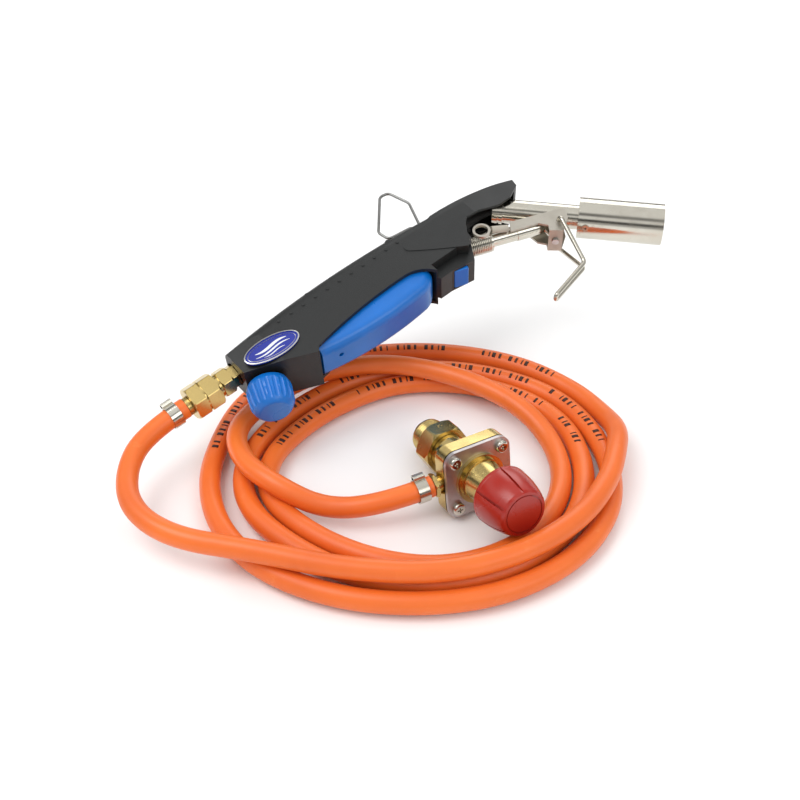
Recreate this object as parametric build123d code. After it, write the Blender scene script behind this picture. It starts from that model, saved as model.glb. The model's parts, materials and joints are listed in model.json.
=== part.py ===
"""Hand-held automatic-ignition propane torch with its hose and cylinder regulator.

Torch frame: origin at the middle of the union nut, +X along the inlet axis to the
front, +Z to the hanging hook, +Y to the torch's left side.  Surface frame: +Z up from
the surface that the hose lies on.  Row frame: the surface frame, moved so that its
origin is the middle of the torch's own box.  Millimetres.
"""

from build123d import *
import math
import os

os.makedirs("parts", exist_ok=True)

# ---- how the torch lies, in the surface frame --------------------------------------
TORCH_AT = (-127.8, -51.1, 42.0)
TORCH_AZIMUTH = 39.0
TORCH_RISE = 12.8
TORCH_ROLL = -78.0
ROW_ORIGIN = (22.78, 25.13, 70.96)

# ---- handle --------------------------------------------------------------------------
REAR = 27.5
NOSE = 213.0
WALL = 2.5
HALF_WIDTH = 18.0
REAR_HALF_WIDTH = 14.5
BLOCK_HALF_WIDTH = 10.5
SPLIT_GAP = 0.05
EDGE_ROUND = 10.0
HOOD_RECESS = 1.5

# ---- inlet ---------------------------------------------------------------------------
UNION_AF = 21.0
UNION_REAR = -8.5
UNION_FRONT = 11.6
ADAPTER_AF = 17.0
BUSH_AF = 14.0
BORE = 5.0

# ---- lever, knob, button -------------------------------------------------------------
LEVER_HALF_WIDTH = 14.6
PIVOT = (82.0, -24.0)
KNOB_ON_FACET = (39.0, -18.3)
KNOB_TILT = 24.0
KNOB_D = 30.0
KNOB_END_D = 24.0
KNOB_L = 22.0
FLUTES = 20
BUTTON_SLOPE = 20.0
BUTTON_AT = (192.0, -36.6)

# ---- neck and burner -----------------------------------------------------------------
NECK_ANGLE = 22.0
NECK_AT = (215.0, -20.9)
NECK_D = 10.6
SLEEVE_D = 11.6
THREAD_D = 15.6
BURNER_ANGLE = 49.6
MOUTH_AT = (328.2, -97.7)
CUP_L = 59.0
CUP_D = 29.0
CUP_WALL = 1.2
TUBE_D = 17.4
TUBE_L = 58.0
RIVET_TURN = 18.0

# ---- hose and regulator --------------------------------------------------------------
HOSE_D = 13.5
HOSE_BORE = 6.3
TAIL_IN = 16.0
REGULATOR_AT = (48.6, -107.0, 23.7)
REGULATOR_AZIMUTH = -60.5
REGULATOR_RISE = 10.0
BODY_SIDE = 46.0
BODY_T = 12.0
COVER_T = 2.4
SCREW_PITCH = 33.0
POL_THREAD_D = 22.9
POL_HEX_AF = 30.0
OUTLET_L = 27.5

TORCH = (
    Pos(*TORCH_AT)
    * Rot(Z=TORCH_AZIMUTH)
    * Rot(Y=-TORCH_RISE)
    * Rot(X=TORCH_ROLL)
)
REGULATOR = Pos(*REGULATOR_AT) * Rot(Z=REGULATOR_AZIMUTH) * Rot(Y=-REGULATOR_RISE)
TO_ROW = Pos(*[-value for value in ROW_ORIGIN])


# ---- small helpers -------------------------------------------------------------------
def point(xz, y=0.0):
    """A torch-frame point from its X and Z in the middle plane."""
    return Vector(xz[0], y, xz[1])


def rod(start, end, diameter):
    """A round bar between two points."""
    start, end = Vector(*start), Vector(*end)
    plane = Plane(origin=start, z_dir=end - start)
    return plane * Cylinder(diameter / 2, (end - start).length, align=(Align.CENTER, Align.CENTER, Align.MIN))


def pipe(start, end, outer, inner):
    """A round tube between two points."""
    start, end = Vector(*start), Vector(*end)
    over = (end - start).normalized() * 0.5
    return rod(start, end, outer) - rod(start - over, end + over, inner)


def hexagon(start, end, across_flats, turn=0.0):
    """A hexagonal bar with chamfered corners between two points."""
    start, end = Vector(*start), Vector(*end)
    length = (end - start).length
    plane = Plane(origin=start, z_dir=end - start)
    corners = across_flats / math.sqrt(3)
    bar = extrude(RegularPolygon(corners, 6, rotation=turn), length)
    turned = Cylinder(corners * 0.985, length, align=(Align.CENTER, Align.CENTER, Align.MIN))
    turned = chamfer(turned.edges().filter_by(GeomType.CIRCLE), corners * 0.09)
    return plane * (bar & turned)


def plate(outline, y_low, y_high):
    """A closed outline in X and Z, as thick as from y_low to y_high."""
    return extrude(Plane.XZ.offset(-y_high) * make_face(outline), y_high - y_low)


def closed(points):
    """Straight runs round a list of X, Z points."""
    return Polyline([(x, z) for x, z in points], close=True)


def wire_run(points, radii, diameter):
    """A bent wire: straight runs joined by arcs, one radius for each corner."""
    path = FilletPolyline(*points, radius=radii)
    return sweep(Plane(path.location_at(0)) * Circle(diameter / 2), path=path)


def coil_spring(start, end, mean_d, wire_d, turns):
    """A helical spring between two points."""
    start, end = Vector(*start), Vector(*end)
    length = (end - start).length
    helix = Helix(pitch=length / turns, height=length, radius=mean_d / 2)
    spring = sweep(Plane(helix.location_at(0)) * Circle(wire_d / 2), path=helix)
    return Plane(origin=start, z_dir=end - start) * spring


def along(origin, angle, distance, y=0.0):
    """The point a distance forward along a line that dips by angle below +X."""
    a = math.radians(angle)
    return Vector(origin[0] + distance * math.cos(a), y, origin[1] - distance * math.sin(a))


# ---- handle --------------------------------------------------------------------------
def handle_outline():
    """The handle's side view, with the lever's recess as its lower edge."""
    top = ThreePointArc((REAR, 9.0), (120.0, 15.0), (NOSE, 9.5))
    front = Polyline((NOSE, 9.5), (NOSE, -14.0), (210.0, -28.0), (202.5, -39.4), (184.5, -36.4), (174.6, -36.4))
    lip = ThreePointArc((174.6, -36.4), (168.0, -27.5), (154.0, -22.4))
    recess = ThreePointArc((154.0, -22.4), (112.0, -24.2), (75.0, -30.0))
    rear = Polyline((75.0, -30.0), (72.5, -34.0), (REAR, -13.0), (REAR, 9.0))
    return Curve() + [top, front, lip, recess, rear]


def plan_outline(inset=0.0):
    """The handle seen from above: narrower at its rear."""
    half = HALF_WIDTH - inset
    rear_half = REAR_HALF_WIDTH - inset
    x0 = REAR - 1 + inset * 2
    x1 = NOSE + 1 - inset * 2
    return Polyline((x0, -rear_half), (52.0, -half), (x1, -half), (x1, half), (52.0, half), (x0, rear_half), close=True)


def handle_block(inset=0.0):
    """The handle's solid shape, or its inside when inset is the wall."""
    face = make_face(handle_outline())
    if inset:
        face = offset(face, -inset, kind=Kind.INTERSECTION)
    block = extrude(Plane.XZ * face, 2 * HALF_WIDTH, both=True)
    block &= extrude(Pos(Z=-80) * make_face(plan_outline(inset)), 160)
    half = BLOCK_HALF_WIDTH - inset
    for side in (-1, 1):
        block -= Pos(193.0, side * (half + 15.0), -44.0) * Box(39.0 + 2 * inset, 30.0, 33.0 + 2 * inset)
    return block


def rounded_block(inset=0.0):
    """The handle's block with its long top edges rounded, drawn in by inset."""
    block = handle_block(inset)
    edge = HALF_WIDTH - inset - 0.5
    top = block.edges().filter_by(lambda e: e.center().Z > 5.0 and abs(e.center().Y) > edge and e.length > 60.0)
    return fillet(top, EDGE_ROUND - inset)


def handle_shells():
    """The two moulded halves: hollow, with openings for everything that passes through."""
    shell = rounded_block() - rounded_block(WALL)
    shell -= plate(hood_outline(), -30.0, 30.0) - rounded_block(HOOD_RECESS) - nose_block()
    shell -= plate(closed([(74.4, -20.0), (173.0, -20.0), (173.0, -60.0), (74.4, -60.0)]), -15.2, 15.2)
    shell -= plate(closed([(84.0, -20.2), (84.0, -19.3), (173.0, -11.2), (173.0, -20.2)]), -14.95, 14.95)
    shell -= rod((REAR - 5, 0, 0), (REAR + 10, 0, 0), 17.0)
    knob_axis = knob_line()
    shell -= rod(knob_axis(-14.0), knob_axis(6.0), 13.0)
    shell -= rod(along(NECK_AT, NECK_ANGLE, -14.0), along(NECK_AT, NECK_ANGLE, 4.0), THREAD_D + 0.6)
    shell -= button_location() * Box(11.0, 17.6, 16.0)
    shell -= rod((208.0, 7.0, -4.6), (216.0, 5.0, -4.0), 5.0)
    shell -= rod((197.3, 0, 8.0), (197.3, 0, 20.0), 2.6)
    shell -= rod((202.2, 0, 8.0), (202.2, 0, 20.0), 2.6)
    shell += dimples()
    for x, z in SCREW_POSTS:
        shell += rod((x, -HALF_WIDTH + 1, z), (x, HALF_WIDTH - 1, z), 6.4)
        shell -= rod((x, -HALF_WIDTH + 4, z), (x, HALF_WIDTH + 1, z), 3.1)
        shell -= rod((x, HALF_WIDTH - 3.2, z), (x, HALF_WIDTH + 1, z), 6.0)
    shell -= rod((PIVOT[0], -17.4, PIVOT[1]), (PIVOT[0], 17.4, PIVOT[1]), 4.04)
    right = shell & Pos(120, -50 - SPLIT_GAP / 2, 0) * Box(260, 100, 200)
    left = shell & Pos(120, 50 + SPLIT_GAP / 2, 0) * Box(260, 100, 200)
    return right, left


SCREW_POSTS = ((64.0, -21.0), (96.0, 7.4), (166.0, 7.4), (179.0, -22.6))


def dimples():
    """Grip studs in one row along each side, just under the top."""
    studs = Part()
    for index in range(11):
        x = 68.0 + 10.2 * index
        for side in (-1, 1):
            studs += Pos(x, side * (HALF_WIDTH - 0.3), 3.4) * Rot(X=90 * side) * Cone(1.2, 0.7, 1.4)
    return studs


def badge():
    """The oval name plate, with generic plain rings, on the right side."""
    plate_shape = extrude(Ellipse(20.0, 9.0), 0.8)
    rim = extrude(Ellipse(20.0, 9.0) - Ellipse(19.0, 8.0), 1.1)
    return Pos(51.5, -HALF_WIDTH - 0.05, -11.5) * Rot(X=90) * Rot(Z=-6.0) * (plate_shape + rim)


def hood_outline():
    """The front cover's side view."""
    top = ThreePointArc((204.5, 10.8), (240.0, 7.2), (272.5, -2.4))
    under = Polyline((272.5, -2.4), (270.8, -9.0), (258.5, -15.4), (247.0, -16.6), (230.5, -12.0), (220.5, -11.5))
    cheek = Polyline((220.5, -11.5), (216.0, -15.5), (207.0, -28.5), (203.5, -32.0))
    low = ThreePointArc((203.5, -32.0), (186.0, -20.0), (171.0, -8.5))
    back = ThreePointArc((171.0, -8.5), (169.4, -5.6), (172.0, -2.0))
    crest = Polyline((172.0, -2.0), (204.5, 8.0), (204.5, 10.8))
    return Curve() + [top, under, cheek, low, back, crest]


def hood():
    """The front cover: it wraps the handle's nose and shades the burner tube's rear end."""
    half = HALF_WIDTH + 0.4
    block = plate(hood_outline(), -half, half)
    ridge = block.edges().filter_by(lambda e: e.center().Z > 0.5 and abs(e.center().Y) > half - 0.5 and e.length > 60.0)
    block = fillet(ridge, EDGE_ROUND - 1.0)
    block &= extrude(Pos(Z=-80) * make_face(hood_plan(half)), 160)
    block = block - rounded_block(HOOD_RECESS) - nose_block()
    cavity_top = ThreePointArc((NOSE, 7.6), (242.0, 4.6), (266.5, -3.4))
    cavity_low = Polyline((266.5, -3.4), (266.5, -40.0), (NOSE, -40.0), (NOSE, 7.6))
    inner = half - 2.0
    cavity = plate(Curve() + [cavity_top, cavity_low], -inner, inner)
    ceiling = cavity.edges().filter_by(lambda e: e.center().Z > -1.0 and abs(e.center().Y) > inner - 0.5 and e.length > 40.0)
    cavity = fillet(ceiling, EDGE_ROUND - 3.0)
    return block - (cavity & extrude(Pos(Z=-80) * make_face(hood_plan(inner)), 160))


def nose_block():
    """The handle's front wall, which stays whole behind the hood."""
    half = HALF_WIDTH - HOOD_RECESS
    return Pos(NOSE - 3.0, 0, -16.2) * Box(6.0, 2 * half, 47.6)


def hood_plan(half):
    """The hood seen from above: it narrows to its tip."""
    return Polyline((165, -half), (228, -half), (276, -half + 6), (276, half - 6), (228, half), (165, half), close=True)


def screws():
    """Four self-tapping screws from the left side."""
    group = Part()
    for x, z in SCREW_POSTS:
        shank = rod((x, -HALF_WIDTH + 4.6, z), (x, HALF_WIDTH - 3.6, z), 3.0)
        head = rod((x, HALF_WIDTH - 3.1, z), (x, HALF_WIDTH - 1.0, z), 5.4)
        slot = Pos(x, HALF_WIDTH - 1.0, z) * (Box(3.6, 1.8, 0.8) + Box(0.8, 1.8, 3.6))
        group += shank + head + rod((x, HALF_WIDTH - 3.7, z), (x, HALF_WIDTH - 3.0, z), 3.0) - slot
    return group


def hanging_hook():
    """The bent wire loop that folds on the handle's top."""
    points = [(197.3, 0, 9.0), (197.3, 0, 20.0), (177.5, 0, 22.5), (176.0, 0, 32.0), (199.5, 0, 58.5),
              (206.5, 0, 57.0), (211.0, 0, 39.5), (202.2, 0, 17.5), (202.2, 0, 9.0)]
    return wire_run(points, [3.0, 4.5, 4.5, 5.0, 4.0, 6.0, 3.0], 2.1)


# ---- inlet, valve and knob -----------------------------------------------------------
def inlet_adapter():
    """The brass adapter: hexagon, round collar, small hexagon and its stub into the valve."""
    body = hexagon((UNION_FRONT + 2.6, 0, 0), (22.2, 0, 0), ADAPTER_AF, 15)
    body += rod((UNION_FRONT + 0.4, 0, 0), (UNION_FRONT + 2.8, 0, 0), 15.4)
    body += hexagon((22.2, 0, 0), (31.0, 0, 0), BUSH_AF, 15)
    body += rod((31.0, 0, 0), (37.0, 0, 0), 10.0)
    body += rod((2.0, 0, 0), (UNION_FRONT + 0.5, 0, 0), 16.2)
    return body - rod((0, 0, 0), (40, 0, 0), BORE)


def union_nut():
    """The left-hand union nut with its middle groove; it turns on the adapter."""
    nut = hexagon((UNION_REAR, 0, 0), (UNION_FRONT, 0, 0), UNION_AF, 15)
    nut -= pipe((0.4, 0, 0), (1.6, 0, 0), 30.0, 20.6)
    nut -= rod((-1.0, 0, 0), (UNION_FRONT + 1, 0, 0), 16.34)
    return nut - rod((UNION_REAR - 1, 0, 0), (0, 0, 0), 10.34)


def hose_tail():
    """The barbed tail that the hose is pushed on, with its cone in the union nut."""
    tail = rod((-0.9, 0, 0), (1.9, 0, 0), 13.0)
    tail += rod((-11.8, 0, 0), (-0.9, 0, 0), 10.2)
    tail += rod((-11.6, 0, 0), (-8.8, 0, 0), 12.6)
    tail += rod((-11.9 - TAIL_IN, 0, 0), (-11.5, 0, 0), HOSE_BORE - 0.8)
    return tail - rod((-36, 0, 0), (3, 0, 0), 4.0)


def valve_body():
    """The gas valve: a bored brass barrel with a boss for the spindle."""
    knob_axis = knob_line()
    body = rod((33.0, 0, 0), (62.0, 0, 0), 12.8)
    body += rod(knob_axis(-18.0), knob_axis(-4.0), 13.0)
    body += rod((62.0, 0, 0), (68.0, 0, 0), 11.0)
    body -= rod((30.0, 0, 0), (37.2, 0, 0), 10.04)
    body -= rod((36.0, 0, 0), (60.0, 0, 0), BORE)
    body -= rod((58.0, 0, 0), (70.0, 0, 0), 6.04)
    return body - rod(knob_axis(-19.0), knob_axis(0.0), 5.06)


def knob_line():
    """Places along the knob's axis, measured outward from the handle's facet."""
    a = math.radians(KNOB_TILT)
    def place(distance):
        return Vector(KNOB_ON_FACET[0] - math.sin(a) * distance, 0, KNOB_ON_FACET[1] - math.cos(a) * distance)
    return place


def valve_spindle():
    """The turned spindle that the knob drives, with its needle end."""
    knob_axis = knob_line()
    return rod(knob_axis(-16.0), knob_axis(19.0), 5.0) + rod(knob_axis(-17.5), knob_axis(-16.0), 3.0)


def valve_nut():
    """The gland nut that holds the spindle in the valve."""
    knob_axis = knob_line()
    return hexagon(knob_axis(-3.9), knob_axis(-0.4), 10.0) - rod(knob_axis(-5), knob_axis(1), 5.2)


def gas_knob():
    """The fluted plastic knob: a dome that narrows to a flat end."""
    start, end = 3.2, 3.2 + KNOB_L
    section = Polyline((0, start), (KNOB_D / 2 - 1.6, start))
    rim = ThreePointArc((KNOB_D / 2 - 1.6, start), (KNOB_D / 2, start + 5.5), (KNOB_D / 2 - 0.4, start + 10.5))
    shoulder = ThreePointArc((KNOB_D / 2 - 0.4, start + 10.5), (KNOB_END_D / 2 + 1.4, end - 4.0), (KNOB_END_D / 2 - 1.6, end - 0.4))
    face = Polyline((KNOB_END_D / 2 - 1.6, end - 0.4), (KNOB_END_D / 2 - 2.6, end), (0, end), (0, start))
    dome = revolve(Plane.XZ * make_face(Curve() + [section, rim, shoulder, face]), Axis.Z)
    for index in range(FLUTES):
        angle = 360 / FLUTES * index
        flute = Pos(KNOB_D / 2 + 0.9, 0, start + 8.5) * Rot(Y=-7) * Cylinder(1.9, 22.0)
        dome -= Rot(Z=angle) * flute
    dome -= Pos(Z=start + 5.0) * Cylinder(11.0, 10.2) - Pos(Z=start + 5.0) * Cylinder(5.0, 10.3)
    dome -= Pos(Z=start + 8.0) * Cylinder(2.52, 16.2)
    return Plane(origin=knob_line()(0), x_dir=(0, 1, 0), z_dir=knob_line()(1) - knob_line()(0)) * dome


def gas_pipe():
    """The brass pipe from the valve to the trigger valve and on to the neck."""
    rear = rod((61.0, 0, 0), (121.0, 0, 0), 6.0) - rod((60.0, 0, 0), (122.0, 0, 0), 4.0)
    return rear


def front_pipe():
    """The bent pipe from the trigger valve to the neck's socket."""
    end = along(NECK_AT, NECK_ANGLE, -4.2)
    before = along(NECK_AT, NECK_ANGLE, -21.0)
    points = [(147.0, 0, 0), (181.0, 0, 0), (before.X, 0, before.Z), (end.X, 0, end.Z)]
    return wire_run(points, [12.0, 12.0], 6.0)


def trigger_valve():
    """The valve block that the lever opens through its plunger."""
    block = Pos(134.0, 0, 0) * Box(26.0, 14.0, 15.0)
    block += rod((134.0, 0, -7.0), (134.0, 0, -12.0), 10.0)
    block -= rod((118.0, 0, 0), (122.0, 0, 0), 6.04)
    block -= rod((146.0, 0, 0), (150.0, 0, 0), 6.04)
    block -= rod((121.0, 0, 0), (147.0, 0, 0), 4.0)
    return block - rod((134.0, 0, 3.0), (134.0, 0, -13.0), 5.06)


def valve_plunger():
    """The plunger between the lever and the trigger valve."""
    return rod((134.0, 0, -5.5), (134.0, 0, -22.0), 5.0) + rod((134.0, 0, -22.0), (134.0, 0, -23.2), 3.6)


def plunger_ring():
    """The rubber ring that seals the plunger's bore."""
    return Pos(134.0, 0, -12.8) * Torus(3.6, 0.7)


# ---- lever and button ----------------------------------------------------------------
def trigger_lever():
    """The moulded squeeze lever: a rounded trough on a rear pivot."""
    belly = ThreePointArc((75.0, -32.8), (120.0, -38.8), (160.0, -37.4))
    front = TangentArc((160.0, -37.4), (172.0, -29.6), tangent=belly % 1)
    top = Polyline((172.0, -29.6), (166.0, -21.5), (90.0, -21.0), (79.0, -19.7), (75.0, -27.0), (75.0, -32.8))
    body = plate(Curve() + [belly, front, top], -LEVER_HALF_WIDTH, LEVER_HALF_WIDTH)
    low = body.edges().filter_by(lambda e: e.center().Z < -32.0 and abs(e.center().Y) > LEVER_HALF_WIDTH - 0.5 and e.length > 8.0)
    body = fillet(low, 7.0)
    inner = Polyline((79.5, -10.0), (79.5, -30.0), (120.0, -35.6), (157.0, -34.8), (166.5, -29.8), (166.5, -10.0), close=True)
    body -= plate(inner, -LEVER_HALF_WIDTH + 5.6, LEVER_HALF_WIDTH - 5.6)
    for y in (-9.6, 9.6):
        body += rod((PIVOT[0], y - 3.0, PIVOT[1]), (PIVOT[0], y + 3.0, PIVOT[1]), 8.4)
    body -= rod((PIVOT[0], -20, PIVOT[1]), (PIVOT[0], 20, PIVOT[1]), 4.1)
    body -= rod((PIVOT[0], -6.4, PIVOT[1]), (PIVOT[0], 6.4, PIVOT[1]), 8.8)
    body += Pos(134.0, 0, -30.3) * Box(7.0, 19.0, 13.4)
    return body - rod((88.0, -2.0, -28.0), (88.0, -2.0, -42.0), 3.4)


def pivot_pin():
    """The steel pin through the handle that the lever turns on."""
    return rod((PIVOT[0], -17.3, PIVOT[1]), (PIVOT[0], 17.3, PIVOT[1]), 4.0)


def lever_spring():
    """The torsion spring that is wound on the pivot pin."""
    return coil_spring((PIVOT[0], -5.0, PIVOT[1]), (PIVOT[0], 5.0, PIVOT[1]), 6.2, 1.1, 6)


def button_location():
    """The ignition button's seat on the sloping underside of the nose."""
    return Pos(BUTTON_AT[0], 0, BUTTON_AT[1]) * Rot(Y=BUTTON_SLOPE)


def ignition_button():
    """The square button; it is pressed into the handle to strike the piezo unit."""
    cap = Box(10.4, 17.0, 6.2)
    cap = fillet(cap.edges().filter_by(Axis.Z), 1.2)
    top = cap.faces().sort_by(Axis.Z)[0]
    cap = fillet(top.edges(), 0.6)
    return button_location() * (Pos(Z=0.9) * cap)


def piezo_plunger():
    """The striker pin that the button drives into the piezo case."""
    return button_location() * Pos(Z=7.55) * Cylinder(2.5, 7.0)


def piezo_unit():
    """The piezo striker in its moulded case."""
    case = Pos(Z=13.2) * Box(10.0, 9.0, 7.0) - Pos(Z=12.7) * Cylinder(2.56, 6.6)
    return button_location() * case


# ---- neck, burner and ignition --------------------------------------------------------
def neck_tube():
    """The gas tube: threaded end, slim tube, thicker sleeve and the block under the burner tube."""
    def place(distance):
        return along(NECK_AT, NECK_ANGLE, distance)
    elbow = place(57.0)
    riser_top = burner_point(JET_AT)
    rise = (riser_top - elbow).normalized()
    tube = rod(place(-8.0), place(15.5), THREAD_D)
    tube += rod(place(15.0), place(36.0), NECK_D)
    tube += rod(place(34.5), elbow, SLEEVE_D)
    tube += Pos(elbow.X, 0, elbow.Z) * Sphere(SLEEVE_D / 2)
    tube += rod(elbow, riser_top + rise * 3.6, 8.6)
    tube += rod(elbow, (264.6, 0, -56.5), 7.6)
    tube -= plate(closed([(262.0, -66.0), (254.0, -58.0), (260.25, -52.95), (267.35, -59.65)]), -12.0, 12.0)
    tube -= rod(place(-9.0), elbow, 4.0)
    tube -= rod(place(-9.0), place(-4.0), 6.04)
    tube -= rod(elbow, riser_top, 3.0)
    tube -= rod(web_screw(-1.0), web_screw(5.4), 2.46)
    return tube - rod(burner_point(JET_AT), burner_point(JET_AT + 12.0), 5.04)


def web_screw(distance):
    """Places inward along the screw's axis from the outer face of the bracket's web."""
    return Vector(262.65 + 0.686 * distance, 0, -57.55 + 0.728 * distance)


JET_AT = -80.5
WEB = [(266.2, -60.9), (259.1, -54.2), (260.2, -53.0), (267.3, -59.7)]


def burner_point(distance, y=0.0):
    """A point on the burner's axis: 0 at the mouth, negative toward the handle."""
    return along(MOUTH_AT, BURNER_ANGLE, distance, y)


def burner_tube():
    """The air and gas tube that carries the cup."""
    tube = pipe(burner_point(-CUP_L - TUBE_L), burner_point(-CUP_L + 8.0), TUBE_D, TUBE_D - 2.0)
    elbow = along(NECK_AT, NECK_ANGLE, 57.0)
    tube -= rod(elbow, burner_point(JET_AT), 9.2)
    tube -= Pos(elbow.X, 0, elbow.Z) * Sphere(SLEEVE_D / 2 + 0.15)
    return tube - rod(along(NECK_AT, NECK_ANGLE, 40.0), elbow, SLEEVE_D + 0.3)


def air_ring():
    """The turned collar with the air holes at the tube's rear end."""
    start = burner_point(-CUP_L - TUBE_L - 2.4)
    ring = pipe(start, burner_point(-CUP_L - TUBE_L + 4.6), TUBE_D + 2.6, TUBE_D + 0.1)
    ring += pipe(start, burner_point(-CUP_L - TUBE_L - 0.1), TUBE_D + 2.6, 9.0)
    return ring - pipe(burner_point(-CUP_L - TUBE_L + 1.2), burner_point(-CUP_L - TUBE_L + 2.4), 30.0, TUBE_D + 1.2)


def gas_jet():
    """The brass jet in the middle of the burner tube."""
    jet = rod(burner_point(JET_AT + 1.6), burner_point(JET_AT + 11.0), 5.0)
    jet += rod(burner_point(JET_AT + 4.8), burner_point(JET_AT + 8.0), 7.0)
    return jet - rod(burner_point(JET_AT), burner_point(JET_AT + 12.0), 1.2)


def rivet_line():
    """Places outward from the burner's axis through the rivet, on the cup's underside."""
    a = math.radians(BURNER_ANGLE)
    b = math.radians(RIVET_TURN)
    out = Vector(-math.sin(a) * math.cos(b), -math.sin(b), -math.cos(a) * math.cos(b))
    start = burner_point(-CUP_L + 5.6)
    return lambda distance: start + out * distance


def burner_cup():
    """The flame cup: open at the mouth, closed round the tube."""
    cup = pipe(burner_point(-CUP_L), burner_point(0), CUP_D, CUP_D - 2 * CUP_WALL)
    cup += pipe(burner_point(-CUP_L), burner_point(-CUP_L + 1.2), CUP_D, TUBE_D + 0.06)
    place = rivet_line()
    return cup - rod(place(10.0), place(20.0), 2.6)


def flame_holder():
    """The perforated disc in the cup that spreads the flame."""
    disc = pipe(burner_point(-CUP_L + 8.4), burner_point(-CUP_L + 10.4), CUP_D - 2 * CUP_WALL - 0.06, 6.0)
    frame = Plane(origin=burner_point(-CUP_L + 9.4), z_dir=burner_point(0) - burner_point(-1))
    for index in range(8):
        disc -= frame * Rot(Z=45 * index) * Pos(X=8.6) * Cylinder(1.7, 6.0)
    return disc


def burner_rivet():
    """The hollow rivet on the cup's underside."""
    place = rivet_line()
    radius = CUP_D / 2
    shank = rod(place(radius - 2.6), place(radius + 0.3), 2.56)
    head = rod(place(radius + 0.08), place(radius + 0.9), 5.0)
    return shank + head - rod(place(radius - 4), place(radius + 2), 1.3)


def stand_bracket():
    """The folded bracket: a cheek on each side of the burner tube and a web below the neck's block."""
    outline = closed([(239.0, -36.6), (244.4, -30.0), (277.5, -43.8), (281.7, -47.6), (277.2, -54.2), (266.2, -60.9),
                      (259.1, -54.2), (262.0, -50.2), (258.2, -44.2)])
    inner = TUBE_D / 2 + 0.12
    outer = inner + 1.6
    short = plate(outline, inner, outer) & Pos(270.0, 0, -45.0) * Box(23.0, 60.0, 60.0)
    bracket = plate(outline, -outer, -inner) + short + plate(closed(WEB), -outer, outer)
    bracket -= rod((270.5, -20, -52.0), (270.5, 20, -52.0), 3.5)
    return bracket - rod(web_screw(-2.0), web_screw(3.0), 2.6)


def bracket_screw():
    """The screw through the bracket's web into the neck's block."""
    return rod(web_screw(-0.3), web_screw(5.0), 2.4) + rod(web_screw(-1.6), web_screw(-0.1), 5.0)


def wire_stand():
    """The hairpin stand: two legs from the bracket that run together to the foot."""
    right = [(270.5, -6.4, -52.0), (270.5, -16.0, -52.0), (261.0, -3.0, -87.0), (226.0, -2.4, -94.4)]
    left = [(x, -y, z) for x, y, z in reversed(right)]
    return wire_run(right + left, [3.2, 4.0, 2.2, 2.2, 4.0, 3.2], 3.2)


def electrode_insulator():
    """The ceramic sleeve of the spark electrode."""
    return pipe((229.6, -10.6, -26.9), (240.4, -8.2, -31.8), 5.2, 1.7)


def spark_electrode():
    """The electrode: its eye, the wire through the sleeve and the bare tip."""
    eye = pipe((223.0, -12.9, -24.0), (223.0, -10.9, -24.0), 12.6, 9.2)
    stem = rod((227.9, -11.0, -26.1), (242.6, -7.7, -32.8), 1.6)
    return eye + stem + rod((242.6, -7.7, -32.8), (254.0, -7.1, -38.0), 1.6)


def ignition_lead():
    """The insulated lead from the piezo unit to the electrode."""
    points = [(197.0, 4.6, -22.5), (197.0, 10.5, -22.5), (203.0, 9.5, -6.0), (213.0, 6.0, -4.0), (218.0, -3.0, -8.0),
              (219.0, -9.0, -16.0)]
    return wire_run(points, [2.5, 4.0, 3.0, 4.0], 2.4)


# ---- the hose ------------------------------------------------------------------------
HOSE_ROUTE = [
    # out of the torch, down and round on to the front of the pile
    (-137, -58.5, 39.5), (-160, -77, 33), (-168, -105, 28), (-161, -135, 24), (-133, -157, 21.5),
    (-86, -166, 20.5), (-30, -181, 20), (25, -184, 20), (72, -168, 20.5), (108, -140, 21),
    (129, -106, 21), (137, -80, 21), (143, -54, 17), (139, -26, 7),
    (122, 2, 7), (88, 31, 7), (45, 46, 7), (0, 49, 7), (-45, 40, 7), (-84, 18, 7), (-108, -12, 7),
    # the outer turn on the surface
    (-119, -52, 7), (-122, -94, 7), (-109, -136, 7), (-80, -170, 7), (-35, -191, 7), (15, -196, 7),
    (62, -187, 7), (104, -160, 7), (130, -120, 7), (136, -80, 7), (128, -40, 7),
    (107, -4, 7), (69, 19, 7), (25, 28, 7), (-22, 20, 7), (-60, -6, 7),
    # the middle turn
    (-88, -41, 7), (-102, -80, 7), (-94, -118, 7), (-66, -149, 7), (-28, -174, 7), (15, -182, 7),
    (59, -173, 7), (93, -148, 7), (114, -113, 7), (119, -72, 7), (110, -34, 7),
    (85, -6, 7), (45, 11, 7), (0, 11, 7), (-36, -9, 7), (-66, -38, 7),
    # the inner turn, which climbs over the others behind
    (-86, -74, 7), (-81, -111, 7), (-51, -142, 7), (-14, -162, 7), (25, -168, 7), (63, -156, 7),
    (93, -131, 7), (106, -94, 7), (101, -55, 8), (81, -27, 17), (47, -4, 21), (8, 13, 21),
    (-30, 14, 21), (-66, 3, 18), (-96, -24, 14),
    # the last stretch, over the left side and down to the regulator
    (-108, -58, 19), (-99, -90, 22), (-77, -112, 22), (-46, -121.5, 10), (-10, -124, 16.6), (19.4, -110.8, 19.6),
]


def bend_radii(points):
    """One radius for each corner, as large as its two runs allow."""
    radii = []
    for before, corner, after in zip(points, points[1:], points[2:]):
        a = Vector(*corner) - Vector(*before)
        b = Vector(*after) - Vector(*corner)
        half_turn = math.radians(a.get_angle(b)) / 2
        radii.append(0.45 * min(a.length, b.length) / math.tan(half_turn))
    return radii


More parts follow.
